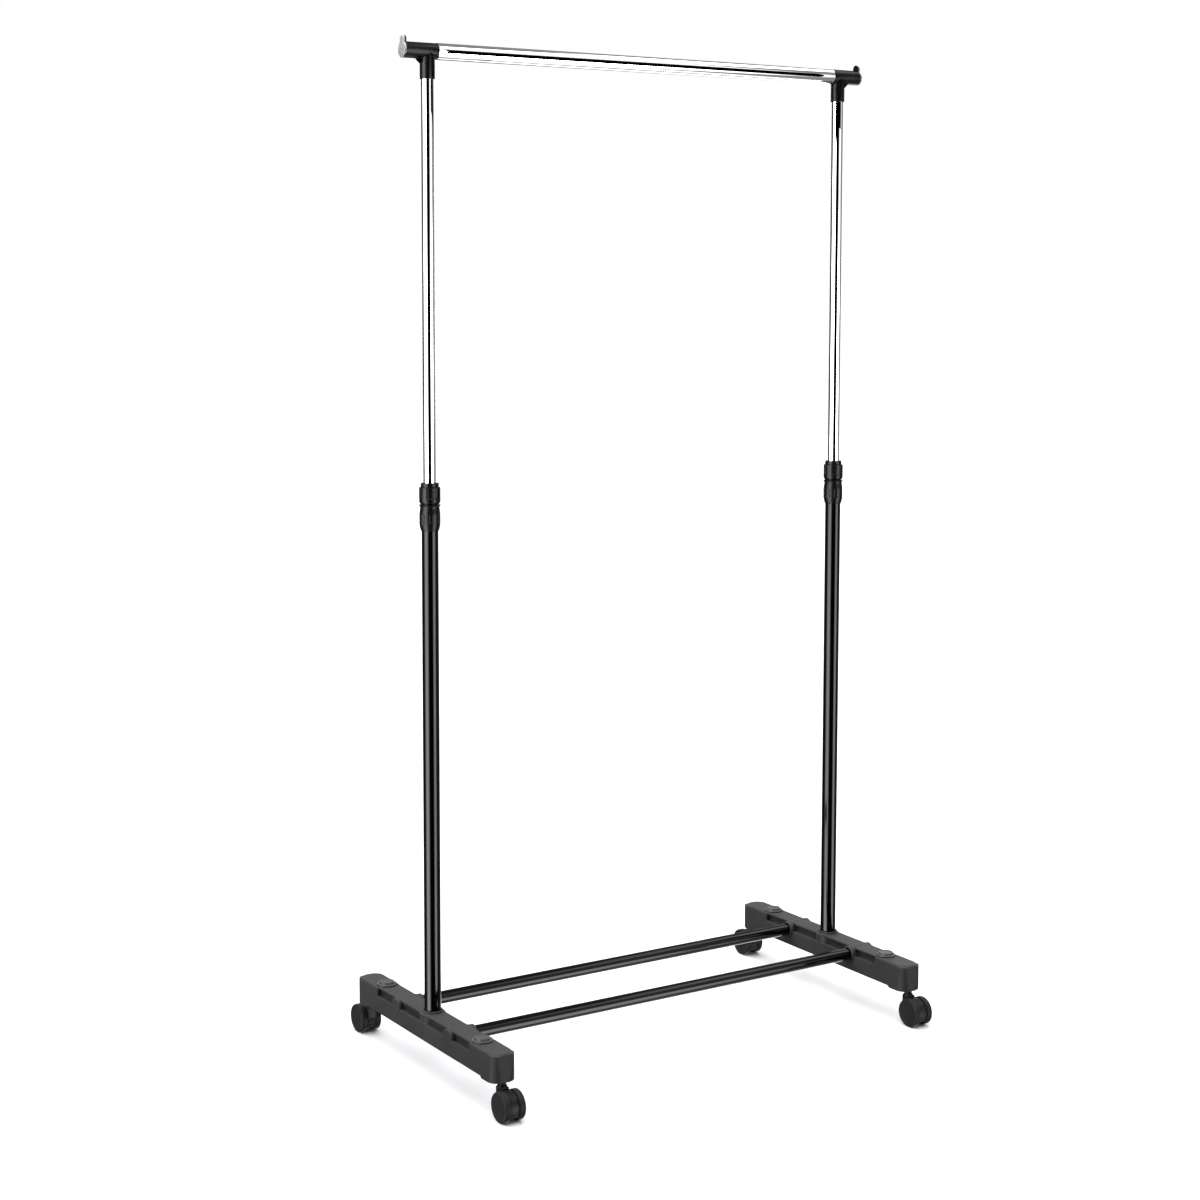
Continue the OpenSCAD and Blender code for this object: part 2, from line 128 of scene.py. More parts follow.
def moulded(dark, light, rough_low, rough_high, grain, grain_size, relief):
    """Satin moulded plastic: spark-eroded grain, faint flow marks, rubbed edges, and painted shade in
    the crevices.
    """
    # How far the painted shade in crevices reaches, and how dark it gets as a fraction of the dark
    # tone.
    painted_shade_reach = 0.012
    painted_shade_tone = 0.12

    def build(nodes, place):
        flow = nodes.noise(place, 14.0, 3.0)
        speck = nodes.noise(place, 1.0 / grain_size, 3.0, 0.6)
        pointed = nodes.add("ShaderNodeNewGeometry").outputs["Pointiness"]
        rubbed = nodes.smooth(pointed, 0.505, 0.56)
        scuffs = nodes.smooth(nodes.noise(place, 90.0, 5.0, 0.7), 0.56, 0.72)
        worn = nodes.math("MULTIPLY_ADD", rubbed, 0.6, nodes.math("MULTIPLY", scuffs, 0.12),
                          clamp=True)
        paleness = nodes.math("MULTIPLY_ADD", flow, 0.35, worn, clamp=True)
        colour = nodes.mix(paleness, grey(dark), grey(light))
        # Painted shade: where ambient occlusion finds nearby surfaces, the colour is darkened towards
        # a fraction of the dark tone.
        ao_for_painted_shade = nodes.add("ShaderNodeAmbientOcclusion", {"Distance": painted_shade_reach},
                             samples=8).outputs["AO"]
        colour = nodes.mix(nodes.smooth(ao_for_painted_shade, 0.25, 0.85), grey(dark * painted_shade_tone), colour)
        roughness = nodes.smooth(nodes.math("MULTIPLY_ADD", scuffs, 0.25, flow), 0.3, 0.85,
                                 rough_low, rough_high)
        fine = nodes.add("ShaderNodeBump", {"Strength": grain, "Distance": relief, "Height": speck})
        wave = nodes.add("ShaderNodeBump", {"Strength": 0.25, "Distance": 0.00008,
                                            "Height": nodes.noise(place, 45.0, 1.0),
                                            "Normal": fine.outputs[0]})
        return colour, roughness, wave.outputs[0]
    return build


def plated(tint, rough_low, rough_high, brush):
    """Bright plating: faint draw lines, long where brush is small, light haze, hairline scratches."""
    def build(nodes, place):
        stretch = nodes.add("ShaderNodeMapping", {"Vector": place, "Scale": brush}).outputs[0]
        lines = nodes.noise(stretch, 900.0, 3.0, 0.6)
        haze = nodes.noise(place, 22.0, 4.0, 0.6)
        scratches = nodes.smooth(nodes.noise(stretch, 260.0, 6.0, 0.75), 0.68, 0.74)
        colour = nodes.mix(nodes.math("MULTIPLY", scratches, 0.25), grey(tint), grey(tint * 0.82))
        roughness = nodes.math("MULTIPLY_ADD", scratches, 0.08,
                               nodes.smooth(haze, 0.3, 0.75, rough_low, rough_high))
        bump = nodes.add("ShaderNodeBump", {"Strength": 0.06, "Distance": 0.00001, "Height": lines})
        return colour, roughness, bump.outputs[0]
    return build


def enamel(tint, rough_low, rough_high):
    """Glossy powder coat: slight orange peel, faint dust haze and pin-point nibs."""
    def build(nodes, place):
        peel = nodes.noise(place, 420.0, 2.0, 0.4)
        haze = nodes.noise(place, 18.0, 4.0, 0.6)
        nibs = nodes.smooth(nodes.noise(place, 700.0, 1.0), 0.76, 0.8)
        colour = nodes.mix(nodes.smooth(haze, 0.45, 0.8, 0.0, 0.5), grey(tint), grey(tint * 2.2))
        roughness = nodes.math("MULTIPLY_ADD", nibs, 0.2,
                               nodes.smooth(haze, 0.3, 0.8, rough_low, rough_high))
        bump = nodes.add("ShaderNodeBump", {"Strength": 0.12, "Distance": 0.00002, "Height": peel})
        return colour, roughness, bump.outputs[0]
    return build


def matt(dark, light, patches, rough_low, rough_high, bumps, relief):
    """Stage sheet: slow patches of tone and roughness and a trace of relief."""
    def build(nodes, place):
        colour = nodes.mix(nodes.noise(place, patches), grey(dark), grey(light))
        roughness = nodes.smooth(nodes.noise(place, 8.0), 0.3, 0.7, rough_low, rough_high)
        bump = nodes.add("ShaderNodeBump", {"Strength": relief, "Height": nodes.noise(place, bumps)})
        return colour, roughness, bump.outputs[0]
    return build


def moulded_plastic(name, tones, roughness, grain, **constants):
    """A moulded material from its tones, roughness range and grain."""
    return surface(name, moulded(*tones, *roughness, *grain), **constants)


DRAWN_UPRIGHT = (1.0, 1.0, 0.01)
DRAWN_LYING = (0.01, 1.0, 1.0)
NOT_DRAWN = (1.0, 1.0, 1.0)
CHROME = (0.93, 0.018, 0.04)
ZINC = (0.62, 0.24, 0.36)
# Plastics: tones from dark to light, roughness from low to high, and the grain's strength, size
# and relief.
MATERIALS = {
    "foot_plastic": moulded_plastic("foot_plastic", (0.046, 0.085), (0.42, 0.56),
                                    (0.5, 0.0006, 0.00006), IOR=1.13),
    "cap_plastic": moulded_plastic("cap_plastic", (0.062, 0.10), (0.32, 0.44),
                                   (0.35, 0.0005, 0.00004), IOR=1.25),
    "black_enamel": surface("black_enamel", enamel(0.0012, 0.09, 0.14), IOR=1.27),
    "chrome": surface("chrome", plated(*CHROME, DRAWN_UPRIGHT), Metallic=1.0),
    "collar_plastic": moulded_plastic("collar_plastic", (0.004, 0.014), (0.24, 0.32),
                                      (0.3, 0.0005, 0.00003), IOR=1.22),
    "nylon": moulded_plastic("nylon", (0.45, 0.60), (0.45, 0.55), (0.3, 0.0008, 0.00003)),
    "end_cap_silver": moulded_plastic("end_cap_silver", (0.66, 0.76), (0.40, 0.50),
                                      (0.05, 0.004, 0.00001)),
    "zinc_screw": surface("zinc_screw", plated(*ZINC, NOT_DRAWN), Metallic=1.0),
    "black_screw": moulded_plastic("black_screw", (0.006, 0.02), (0.30, 0.42),
                                   (0.3, 0.0005, 0.00002), IOR=1.3),
    "caster_plastic": moulded_plastic("caster_plastic", (0.008, 0.03), (0.34, 0.46),
                                      (0.35, 0.0005, 0.00003), IOR=1.18),
    "wheel_plastic": moulded_plastic("wheel_plastic", (0.020, 0.05), (0.40, 0.52),
                                     (0.45, 0.0006, 0.00004), IOR=1.13),
    "zinc_steel": surface("zinc_steel", plated(*ZINC, NOT_DRAWN), Metallic=1.0),
}


# ---------------------------------------------------------------- mesh tools

def finish_piece(piece, node, sharp=32.0):
    """Gives a piece its body, slot and material, and lets it stand for the CAD node of that name."""
    for polygon in piece.data.polygons:
        polygon.use_smooth = True
    piece.data.set_sharp_from_angle(angle=math.radians(sharp))
    piece.data.materials.clear()
    piece.data.materials.append(MATERIALS[SLOT_OF[node]])
    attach(piece, BODY_OF[node])
    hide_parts(node)
    return piece


def new_piece(name, mesh):
    """A new object at the origin holding that mesh."""
    piece = bpy.data.objects.new(name, mesh)
    bpy.context.scene.collection.objects.link(piece)
    return piece


def corners_of(node):
    """The lowest and highest corner of a CAD node, in metres."""
    points = [frame["nodes"][node].matrix_world @ v.co for v in frame["nodes"][node].data.vertices]
    return Vector(map(min, zip(*points))), Vector(map(max, zip(*points)))


def centre_of(node):
    """The middle of a CAD node's box."""
    low, high = corners_of(node)
    return (low + high) / 2


def in_mm(points, lift=0.0):
    """Millimetre pairs as metres, the second number counted from lift."""
    return [(first * MM, lift + second * MM) for first, second in points]


def filleted(points, size, closed=False, steps=4):
    """The outline with every corner rounded off by at most size."""
    most_of_a_side = 0.45
    count = len(points)
    result = []
    for i, corner in enumerate(points):
        if not closed and i in (0, count - 1):
            result.append(corner)
            continue
        here = Vector(corner)
        before = Vector(points[i - 1]) - here
        after = Vector(points[(i + 1) % count]) - here
        start = here + before.normalized() * min(size, before.length * most_of_a_side)
        stop = here + after.normalized() * min(size, after.length * most_of_a_side)
        for k in range(steps + 1):
            t = k / steps
            result.append(tuple(start * (1 - t) ** 2 + here * 2 * t * (1 - t) + stop * t ** 2))
    return result


def denser(points, spacing, closed=False):
    """The outline with extra points, so that no stretch is longer than spacing."""
    result = []
    count = len(points)
    for i, point in enumerate(points):
        result.append(point)
        if i == count - 1 and not closed:
            break
        step = Vector(points[(i + 1) % count]) - Vector(point)
        parts = max(1, math.ceil(step.length / spacing))
        result += [tuple(Vector(point) + step * k / parts) for k in range(1, parts)]
    return result


def arc(centre, radius, start, stop, steps):
    """Points on a circle from the start angle to the stop angle, in degrees."""
    angles = [math.radians(start + (stop - start) * k / steps) for k in range(steps + 1)]
    return [(centre[0] + radius * math.cos(angle), centre[1] + radius * math.sin(angle))
            for angle in angles]


def along_z(x, y):
    """Places a turned shape upright on the axis at x, y."""
    return lambda radius, height, angle: (x + radius * math.cos(angle),
                                          y + radius * math.sin(angle), height)


def along_x(y, z, start=0.0, sense=1):
    """Places a turned shape lying along X on the axis at y, z."""
    return lambda radius, height, angle: (start + sense * height,
                                          y + sense * radius * math.cos(angle),
                                          z + radius * math.sin(angle))


def turn_into(mesh, outline, place, segments, closed=False, shape=None):
    """Adds a turned solid to a bmesh; radius 0 makes a pole, shape changes a radius by angle."""
    rings = []
    for radius, height in outline:
        if radius < 1e-7:
            rings.append([mesh.verts.new(place(0.0, height, 0.0))])
            continue
        ring = []
        for k in range(segments):
            angle = TURN * k / segments
            actual = shape(radius, height, angle) if shape else radius
            ring.append(mesh.verts.new(place(actual, height, angle)))
        rings.append(ring)
    pairs = list(zip(rings, rings[1:])) + ([(rings[-1], rings[0])] if closed else [])
    for low, high in pairs:
        for k in range(segments):
            n = (k + 1) % segments
            if len(low) == 1 and len(high) == 1:
                break
            if len(low) == 1:
                mesh.faces.new((low[0], high[n], high[k]))
            elif len(high) == 1:
                mesh.faces.new((low[k], low[n], high[0]))
            else:
                mesh.faces.new((low[k], low[n], high[n], high[k]))


def plate_into(mesh, outline, low, high, edge, place, steps=4):
    """Adds a closed plate to a bmesh: an outline run from low to high, its rims rounded by edge."""
    count = len(outline)
    outwards = []
    for i in range(count):
        along = Vector(outline[(i + 1) % count]) - Vector(outline[i - 1])
        outwards.append(Vector((along.y, -along.x)).normalized())
    rows = []
    for k in range(steps + 1):
        angle = k * TURN / 4 / steps
        rows.append((edge * (1 - math.sin(angle)), low + edge * (1 - math.cos(angle))))
    rows += [(inset, low + high - level) for inset, level in reversed(rows)]
    rings = []
    for inset, level in rows:
        flat = [Vector(point) - out * inset for point, out in zip(outline, outwards)]
        rings.append([mesh.verts.new(place(p.x, p.y, level)) for p in flat])
    for near, far in zip(rings, rings[1:]):
        for k in range(count):
            n = (k + 1) % count
            mesh.faces.new((near[k], near[n], far[n], far[k]))
    mesh.faces.new(list(reversed(rings[0])))
    mesh.faces.new(rings[-1])


def box_into(mesh, low, high, matrix):
    """Adds a closed box to a bmesh, from corner low to corner high, moved by matrix."""
    verts = [mesh.verts.new(matrix @ Vector((x, y, z)))
             for x in (low[0], high[0]) for y in (low[1], high[1]) for z in (low[2], high[2])]
    for face in ((0, 1, 3, 2), (4, 6, 7, 5), (0, 4, 5, 1), (2, 3, 7, 6), (0, 2, 6, 4), (1, 5, 7, 3)):
        mesh.faces.new([verts[i] for i in face])


def built(node, mesh, label):
    """The finished piece for a CAD node from a bmesh, with all its faces looking outwards."""
    bmesh.ops.recalc_face_normals(mesh, faces=mesh.faces)
    data = bpy.data.meshes.new(node)
    mesh.to_mesh(data)
    mesh.free()
    return finish_piece(new_piece(node + label, data), node)


def turned(node, outline, place, segments=96, closed=False, shape=None):
    """A turned piece that stands for a CAD node."""
    mesh = bmesh.new()
    turn_into(mesh, outline, place, segments, closed, shape)
    return built(node, mesh, "_turned")


def softened(node, voxel, passes, keep):
    """A copy of a CAD node with every edge rounded as in a moulding, by remeshing and relaxing."""
    source = new_piece(node + "_source", frame["nodes"][node].data.copy())
    source.matrix_world = frame["nodes"][node].matrix_world.copy()
    remesh = source.modifiers.new("remesh", "REMESH")
    remesh.mode = "VOXEL"
    remesh.voxel_size = voxel
    relax = source.modifiers.new("relax", "SMOOTH")
    relax.factor = 0.5
    relax.iterations = passes
    thin = source.modifiers.new("thin", "DECIMATE")
    thin.ratio = keep
    bpy.context.view_layer.update()
    graph = bpy.context.evaluated_depsgraph_get()
    result = bpy.data.meshes.new_from_object(source.evaluated_get(graph))
    result.transform(source.matrix_world)
    bpy.data.objects.remove(source)
    piece = finish_piece(new_piece(node + "_moulding", result), node, sharp=50.0)
    piece.modifiers.new("normals", "WEIGHTED_NORMAL").keep_sharp = True
    return piece


# ---------------------------------------------------------------- tubes

TUBE_WALL = 1.2 * MM
BROKEN_EDGE = 0.3 * MM


def tube(node, lying):
    """A drawn tube with softly broken ends, from the extent of its CAD node."""
    low, high = corners_of(node)
    middle = (low + high) / 2
    outer = (high.z - low.z) / 2 if lying else (high.x - low.x) / 2
    inner = outer - TUBE_WALL
    start, stop = (low.x, high.x) if lying else (low.z, high.z)
    outline = [(outer, start), (outer, stop), (inner, stop), (inner, start)]
    place = along_x(middle.y, middle.z) if lying else along_z(middle.x, middle.y)
    turned(node, filleted(outline, BROKEN_EDGE, closed=True), place, closed=True)


for tube_node in ("front_base_bar", "rear_base_bar", "top_rail"):
    tube(tube_node, lying=True)
for side_name in SIDES:
    tube(side_name + "_lower_post", lying=False)
    tube(side_name + "_upper_post", lying=False)


# ---------------------------------------------------------------- collars and lock nuts

def ridge(value, centre, half, soft):
    """1 within half of centre, easing to 0 over soft."""
    t = (half + soft - abs(value - centre)) / soft
    t = min(1.0, max(0.0, t))
    return t * t * (3 - 2 * t)


def turn_distance(angle, other):
    """How far apart two directions are, whichever way round is shorter."""
    return abs((angle - other + math.pi) % TURN - math.pi)


def collar(side):
    """Barrel with a waist and shallow recesses, bored for the lower post and for the collet."""
    node = side + "_collar"
    base, top = (corner.z for corner in corners_of(node))
    post_top = corners_of(side + "_lower_post")[1].z
    neck, seat, bore = 13.5, 11.75, 13.05
    outside = [(13.8, 0), (15.0, 4), (16.25, 10), (16.25, 26), (14.9, 35), (15.5, 37.5),
               (17.3, 40), (neck, 40)]
    points = in_mm(outside, base) + in_mm([(neck, 0), (seat, 0)], top)
    points += in_mm([(seat, 0), (bore, 0)], post_top) + in_mm([(bore, 0)], base)
    outline = denser(filleted(points, 1.0 * MM, closed=True, steps=5), 1.2 * MM, closed=True)
    recesses = [(i + 0.5) * TURN / 8 for i in range(8)]
    recess_depth = 0.6 * MM
    outer_face = 15.9 * MM
    waist = base + 30 * MM

    def recessed(radius, height, angle):
        if radius < outer_face or height > waist:
            return radius
        nearest = min(turn_distance(angle, recess) for recess in recesses)
        depth = ridge(nearest, 0.0, math.radians(6.0), math.radians(4.0))
        return radius - recess_depth * depth * ridge(height, base + 18 * MM, 6 * MM, 2.5 * MM)

    turned(node, outline, along_z(centre_of(node).x, 0.0), segments=240, closed=True,
           shape=recessed)


def lock_nut(side):
    """Stepped nut with three groups of five flutes, relieved round the collet inside."""
    node = side + "_lock_nut"
    base, top = (corner.z for corner in corners_of(node))
    rim, hole, relief, bore = 14.0, 10.6, 12.0, 13.8
    shoulder, lip, relief_end = -6.5, -4, -13.7
    points = in_mm([(14.3, 0), (15.6, 1.2), (16.5, 3.6)], base)
    points += in_mm([(16.5, shoulder), (rim, shoulder), (rim, 0), (hole, 0), (hole, lip),
                     (relief, lip), (relief, relief_end), (bore, relief_end)], top)
    points += in_mm([(bore, 0)], base)
    outline = denser(filleted(points, 0.9 * MM, closed=True, steps=5), 1.0 * MM, closed=True)
    grooves = [math.radians(261 + group * 120 + i * 16)
               for group in range(3) for i in (-2, -1, 0, 1, 2)]
    groove_depth = 1.2 * MM
    groove_reach = top - base - 9.5 * MM
    outer_face = 14.2 * MM
    skirt = base + 5 * MM

    def fluted(radius, height, angle):
        if radius < outer_face or height < skirt:
            return radius
        nearest = min(turn_distance(angle, groove) for groove in grooves)
        depth = ridge(nearest, 0.0, math.radians(2.2), math.radians(3.2))
        return radius - groove_depth * depth * ridge(height, top, groove_reach, 2 * MM)

    turned(node, outline, along_z(centre_of(node).x, 0.0), segments=360, closed=True,
           shape=fluted)


for side_name in SIDES:
    collar(side_name)
    lock_nut(side_name)


# ---------------------------------------------------------------- tees, end caps and feet

ARM_R = 12 * MM
TONGUE_R = 6.5 * MM
TONGUE_RISE = 14.5 * MM
GUSSET_HALF = 5 * MM


def cap_outline():
    """Round end of a tee's arm with the upright tongue, seen along the rail."""
    meet = math.degrees(math.acos(TONGUE_R / ARM_R))
    body = arc((0.0, 0.0), ARM_R, 180 - meet, 360 + meet, 72)
    tongue = arc((0.0, TONGUE_RISE), TONGUE_R, 0.0, 180.0, 24)
    return body + tongue


def tee(side):
    """Two sleeves meeting at a right angle, with a gusset between them and a cap plate."""
    node = side + "_tee"
    out = SIDES[side]
    axis_x = centre_of(side + "_upper_post").x
    axis_z = centre_of("top_rail").z
    mesh = bmesh.new()

    spigot_r, spigot_end, arm_start, arm_end = 11.2, -43, -15, 39.5
    arm = in_mm([(0, spigot_end), (spigot_r, spigot_end), (spigot_r, arm_start)])
    arm += [(ARM_R, arm_start * MM), (ARM_R, arm_end * MM), (0, arm_end * MM)]
    turn_into(mesh, filleted(arm, 0.9 * MM), along_x(0.0, axis_z, axis_x, out), 96)

    sleeve_r, bore_r, bore_depth = 11.5, 10.05, 23
    sleeve_end = axis_z - 41.5 * MM
    sleeve = in_mm([(0, 0), (sleeve_r, 0)], axis_z)
    sleeve += in_mm([(sleeve_r, 0), (bore_r, 0), (bore_r, bore_depth), (0, bore_depth)], sleeve_end)
    turn_into(mesh, filleted(sleeve, 0.7 * MM), along_z(axis_x, 0.0), 96)

    hollow = arc((18.6, -18.6), 7.4, 94.0, 176.0, 10)
    gusset = [(out * x * MM, z * MM)
              for x, z in [(7.0, -7.0), (18.5, -10.6)] + hollow + [(10.6, -18.5)]]
    if out > 0:
        gusset.reverse()
    plate_into(mesh, gusset, -GUSSET_HALF, GUSSET_HALF, 0.8 * MM,
               lambda x, z, level: (axis_x + x, level, axis_z + z))
    plate_into(mesh, cap_outline(), 38 * MM, 40 * MM, 0.15 * MM,
               lambda y, z, level: (axis_x + out * level, y, axis_z + z))
    built(node, mesh, "_moulding")


def tee_screws():
    """The two grub screws, set flush in the front of the tees."""
    node = "tee_screws"
    low, high = corners_of(node)
    axis_z = (low.z + high.z) / 2
    screw_r, socket_r, tail = 2.5, 1.3, 0.5
    points = in_mm([(0, 10.6), (1.2, 10.8), (socket_r, 11.95), (2.1, 11.95), (screw_r, 11.7),
                    (screw_r, tail), (0, tail)])
    mesh = bmesh.new()
    for x in (low.x + screw_r * MM, high.x - screw_r * MM):
        turn_into(mesh, filleted(points, 0.15 * MM),
                  lambda radius, depth, angle: (x + radius * math.cos(angle), -depth,
                                                axis_z + radius * math.sin(angle)), 48)
    built(node, mesh, "_turned")


def end_cap(side):
    """Silver plate over a tee's end, with the same outline, a rounded rim and a plug behind it."""
    node = side + "_end_cap"
    low, high = corners_of(node)
    out = SIDES[side]
    face = high.x if out > 0 else low.x
    axis_z = centre_of("top_rail").z
    plug_r, plug_end, plug_root = 5, -12, -2.5
    mesh = bmesh.new()
    plate_into(mesh, cap_outline(), -3 * MM, 0.0, 1.0 * MM,
               lambda y, z, level: (face + out * level, y, axis_z + z))
    turn_into(mesh, in_mm([(0, plug_end), (plug_r, plug_end), (plug_r, plug_root), (0, plug_root)]),
              along_x(0.0, axis_z, face, out), 48)
    built(node, mesh, "_moulding")


for side_name in SIDES:
    softened(side_name + "_foot", voxel=0.75 * MM, passes=3, keep=0.3)
    tee(side_name)
    end_cap(side_name)
tee_screws()


# ---------------------------------------------------------------- plug caps and casters

def hood(node):
    """Rounded web between the two wheels, with the neck's saddle on top."""
    low, high = corners_of(node)
    rear = ENDS[node.split("_")[0]]
    half, saddle_r, saddle_low = 7, 7.5, 44
    swivel = (low.y + half * MM) if rear > 0 else (high.y - half * MM)
    middle = (low.x + high.x) / 2
    axle, radius = (18.0, 23.0), 21.5
    cut = math.degrees(math.asin(14.0 / radius))
    side_angle = math.degrees(math.acos(9.0 / radius))
    points = arc(axle, radius, -cut, 180 - side_angle, 30)
    points += [(9.0, 47.0), (-half, 47.0), (-half, 28.0), (-4.5, 22.0)]
    points += arc(axle, radius, 188.0, 180 + cut, 8)
    mesh = bmesh.new()
    outline = filleted(in_mm(points), 1.5 * MM, closed=True, steps=3)
    plate_into(mesh, outline, -half * MM, half * MM, 1.2 * MM,
               lambda u, z, level: (middle + level, swivel + rear * u, z))
    saddle = in_mm([(0, saddle_low), (saddle_r, saddle_low)])
    saddle += in_mm([(saddle_r, 0), (0, 0)], high.z)
    turn_into(mesh, filleted(saddle, 0.8 * MM), along_z(middle, swivel), 64)
    built(node, mesh, "_moulding")


def plug_cap(node):
    """Cap with a raised rim, a flange and a shank, closing an unused socket of a foot."""
    low, high = corners_of(node)
    outer = (high.x - low.x) / 2
    shank_r, rim_low, deck = 12, -3.5, -6
    points = in_mm([(0, -0.5), (9.6, -0.5), (10.2, 0), (11.6, 0), (12.5, rim_low)], high.z)
    points += [(outer, high.z + rim_low * MM), (outer, high.z + deck * MM)]
    points += in_mm([(shank_r, deck)], high.z) + in_mm([(shank_r, 0), (0, 0)], low.z)
    turned(node, filleted(points, 0.9 * MM), along_z(*centre_of(node).xy))


def stem(node):
    """Swivel pin with the neck that rests under the foot's socket."""
    low, high = corners_of(node)
    neck = (high.x - low.x) / 2
    pin_r, seat, neck_top = 4, 15, 20.5
    points = in_mm([(0, 0), (pin_r, 0), (pin_r, seat)], low.z)
    points += [(neck, low.z + seat * MM), (neck, low.z + neck_top * MM)]
    points += in_mm([(pin_r, neck_top)], low.z) + in_mm([(pin_r, 0), (0, 0)], high.z)
    turned(node, filleted(points, 0.7 * MM), along_z(*centre_of(node).xy), segments=64)


def wheel(node):
    """A wheel with a dished outer face, rounded tread, and a ribbed hollow towards the hood."""
    low, high = corners_of(node)
    middle = (low + high) / 2
    radius = (high.z - low.z) / 2
    width = high.x - low.x
    outwards = -1 if node.endswith("_a") else 1
    start = high.x if outwards < 0 else low.x
    place = along_x(middle.y, middle.z, start, outwards)
    web = width - 2.2 * MM
    hub_r, axle_r, tread = 6.5 * MM, 2.55 * MM, 3 * MM
    points = [(0, width - 0.9 * MM), (12 * MM, width - 0.75 * MM),
              (radius - 4.2 * MM, width - 0.5 * MM), (radius - 3.4 * MM, width),
              (radius - 2.2 * MM, width), (radius - 0.6 * MM, width - 0.7 * MM),
              (radius, width - 2.4 * MM), (radius, 0.4 * MM), (radius - 0.4 * MM, 0),
              (radius - tread, 0), (radius - tread, web), (hub_r, web), (hub_r, 0),
              (axle_r, 0), (axle_r, web), (0, web)]
    mesh = bmesh.new()
    turn_into(mesh, filleted(points, 0.8 * MM), place, 96)
    centre = Vector((start, middle.y, middle.z))
    ribs = 6
    rib_half = 0.8 * MM
    near, far = sorted((outwards * 1.5 * MM, outwards * (web + 0.6 * MM)))
    for i in range(ribs):
        spin = Matrix.Translation(centre) @ Matrix.Rotation((i + 0.5) * TURN / ribs, 4, "X")
        box_into(mesh, (near, -rib_half, 5.5 * MM), (far, rib_half, radius - 2 * MM), spin)
    built(node, mesh, "_turned")


for end_name in ENDS:
    for side_name in SIDES:
        corner_name = f"{end_name}_{side_name}"
        plug_cap(corner_name + "_plug_cap")
        stem(corner_name + "_stem")
        wheel(corner_name + "_wheel_a")
        wheel(corner_name + "_wheel_b")
        hood(corner_name + "_hood")

lying_chrome = surface("chrome_lying", plated(*CHROME, DRAWN_LYING), Metallic=1.0)
bpy.data.objects["top_rail_turned"].data.materials[0] = lying_chrome

for node_name, node_object in frame["nodes"].items():
    node_object.data.materials.clear()
    node_object.data.materials.append(MATERIALS[SLOT_OF[node_name]])
    for polygon in node_object.data.polygons:
        polygon.use_smooth = True


# ---------------------------------------------------------------- studio

# What reflections see, in degrees: azimuth from, to and softness (0 is -Y, 90 is +X), elevation
# from, to and softness (None for all heights), and strength.
PANELS = {
    "left wall": ((-122.0, -50.0, 2.0), None, 1.2),
    "right wall": ((4.0, 48.0, 2.0), None, 1.2),
    "low wall": ((50.0, 88.0, 2.0), (-66.0, -46.0, 2.0), 1.2),
    "left box": ((-104.0, -62.0, 13.0), (-60.0, 30.0, 8.0), 13.0),
    "right box": ((9.0, 40.0, 8.0), (-42.0, 3.0, 3.0), 9.5),
    "top box": ((40.0, 105.0, 8.0), (43.0, 58.0, 3.0), 4.0),
    "back right wall": ((48.0, 178.0, 4.0), None, 0.25),
    "back left wall": ((-178.0, -122.0, 4.0), None, 0.07),
    "back strip": ((118.0, 138.0, 3.0), (-60.0, 25.0, 4.0), 2.5),
    "far back strip": ((160.0, 171.0, 2.0), (-60.0, 25.0, 4.0), 2.5),
}
DOME_STRENGTH, DOME_REST = 3.0, 0.03
DOME_LEAN_X, DOME_LEAN_Y = -0.6, 0.35


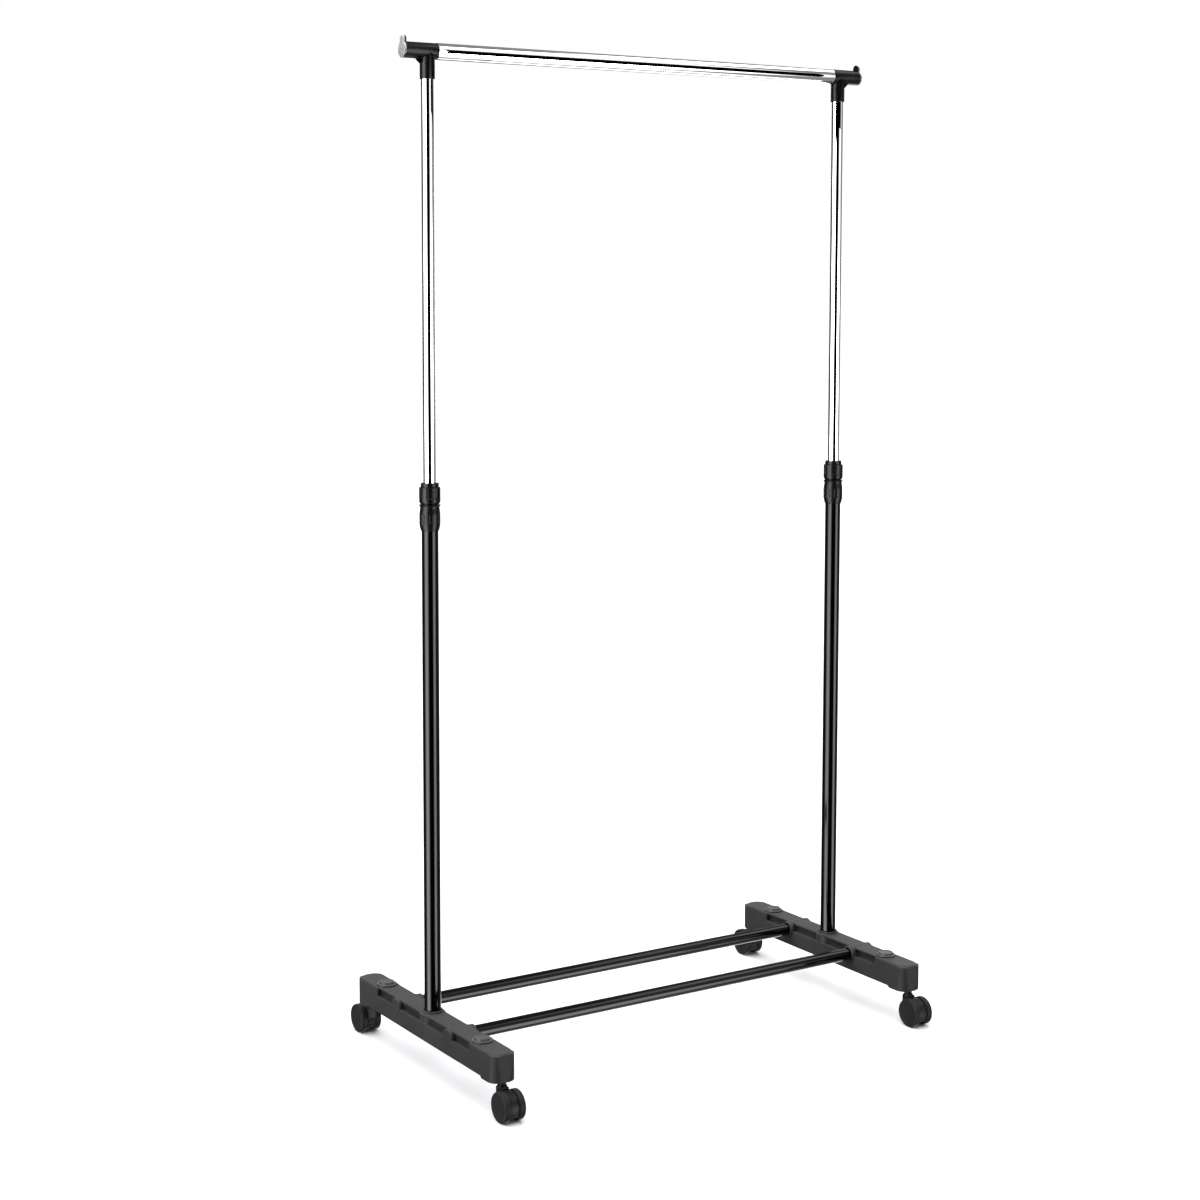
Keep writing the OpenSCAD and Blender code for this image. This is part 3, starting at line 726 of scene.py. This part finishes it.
def studio_world():
    """White to the camera, a soft dome on matt surfaces, and PANELS in the reflections."""
    world = bpy.data.worlds.new("studio")
    bpy.context.scene.world = world
    world.use_nodes = True
    nodes = Nodes(world.node_tree)
    direction = nodes.add("ShaderNodeTexCoord").outputs["Generated"]
    x, y, z = nodes.add("ShaderNodeSeparateXYZ", {0: direction}).outputs
    degrees = 180.0 / math.pi
    forwards = nodes.math("MULTIPLY", y, -1.0)
    around = nodes.math("MULTIPLY", nodes.math("ARCTAN2", x, forwards), degrees)
    above = nodes.math("MULTIPLY", nodes.math("ARCSINE", z), degrees)

    def window(value, low, high, soft):
        return nodes.math("MULTIPLY", nodes.smooth(value, low - soft, low + soft),
                          nodes.smooth(value, high + soft, high - soft))

    def background(strength):
        white = (1.0, 1.0, 1.0, 1.0)
        return nodes.add("ShaderNodeBackground", {"Color": white, "Strength": strength}).outputs[0]

    strength = 0.0
    for azimuths, elevations, power in PANELS.values():
        panel = window(around, *azimuths)
        if elevations:
            panel = nodes.math("MULTIPLY", panel, window(above, *elevations))
        strength = nodes.math("MULTIPLY_ADD", panel, power, strength)
    lean = nodes.math("MULTIPLY_ADD", x, DOME_LEAN_X,
                      nodes.math("MULTIPLY_ADD", y, DOME_LEAN_Y, 1.0))
    overhead = nodes.math("MULTIPLY", nodes.smooth(z, 0.3, 0.9), lean)
    dome = nodes.math("MULTIPLY_ADD", overhead, DOME_STRENGTH, DOME_REST)
    path = nodes.add("ShaderNodeLightPath")
    lit = nodes.add("ShaderNodeMixShader", {0: path.outputs["Is Glossy Ray"], 1: background(dome),
                                            2: background(strength)})
    final = nodes.add("ShaderNodeMixShader", {0: path.outputs["Is Camera Ray"], 1: lit.outputs[0],
                                              2: background(1.0)})
    nodes.add("ShaderNodeOutputWorld", {"Surface": final.outputs[0]})


def flat_sheet(name, corners, material):
    """A single flat face that belongs to the stage."""
    mesh = bpy.data.meshes.new(name)
    mesh.from_pydata(corners, [], [list(range(len(corners)))])
    mesh.materials.append(material)
    sheet = new_piece(name, mesh)
    return sheet


def pale_floor():
    """A round floor that catches the shadows and sends no light back to the object."""
    paint = surface("floor_paint", matt(0.94, 0.96, 3.0, 0.7, 0.8, 200.0, 0.02))
    rim = [(x, y, 0.0) for x, y in arc((0.0, 0.0), 14.0, 0.0, 360.0, 96)[:-1]]
    floor = flat_sheet("floor", rim, paint)
    floor.visible_glossy = False
    floor.visible_diffuse = False


def rail_card():
    """A black strip in front of the rail, seen only in reflections, for the rail's dark line."""
    black = surface("card_black", matt(0.001, 0.002, 5.0, 0.9, 1.0, 50.0, 0.01), IOR=1.0)
    ahead = -0.15
    rail_low, rail_high = corners_of("top_rail")
    middle = (rail_low.z + rail_high.z) / 2
    low, high = middle - 0.060, middle + 0.072
    left, right = rail_low.x + 0.065, rail_high.x + 0.12
    card = flat_sheet("rail_card", [(left, ahead, low), (right, ahead, low), (right, ahead, high),
                                    (left, ahead, high)], black)
    card.visible_camera = False
    card.visible_diffuse = False
    card.visible_shadow = False
    card.visible_transmission = False


def camera():
    """The camera, 1.2 m above the floor, turned to the right and looking slightly down."""
    looking_down, turned_right = 5.412, 32.041
    lens = bpy.data.cameras.new("camera")
    lens.sensor_width = 36.0
    lens.lens = 65.255
    lens.shift_x = 0.029
    lens.shift_y = -0.0928
    eye = bpy.data.objects.new("camera", lens)
    bpy.context.scene.collection.objects.link(eye)
    eye.location = (-1.9546, -2.8861, 1.2215)
    eye.rotation_euler = (math.radians(90.0 - looking_down), 0.0, math.radians(-turned_right))
    bpy.context.scene.camera = eye


studio_world()
pale_floor()
rail_card()
camera()
bpy.context.scene.view_settings.view_transform = "Standard"
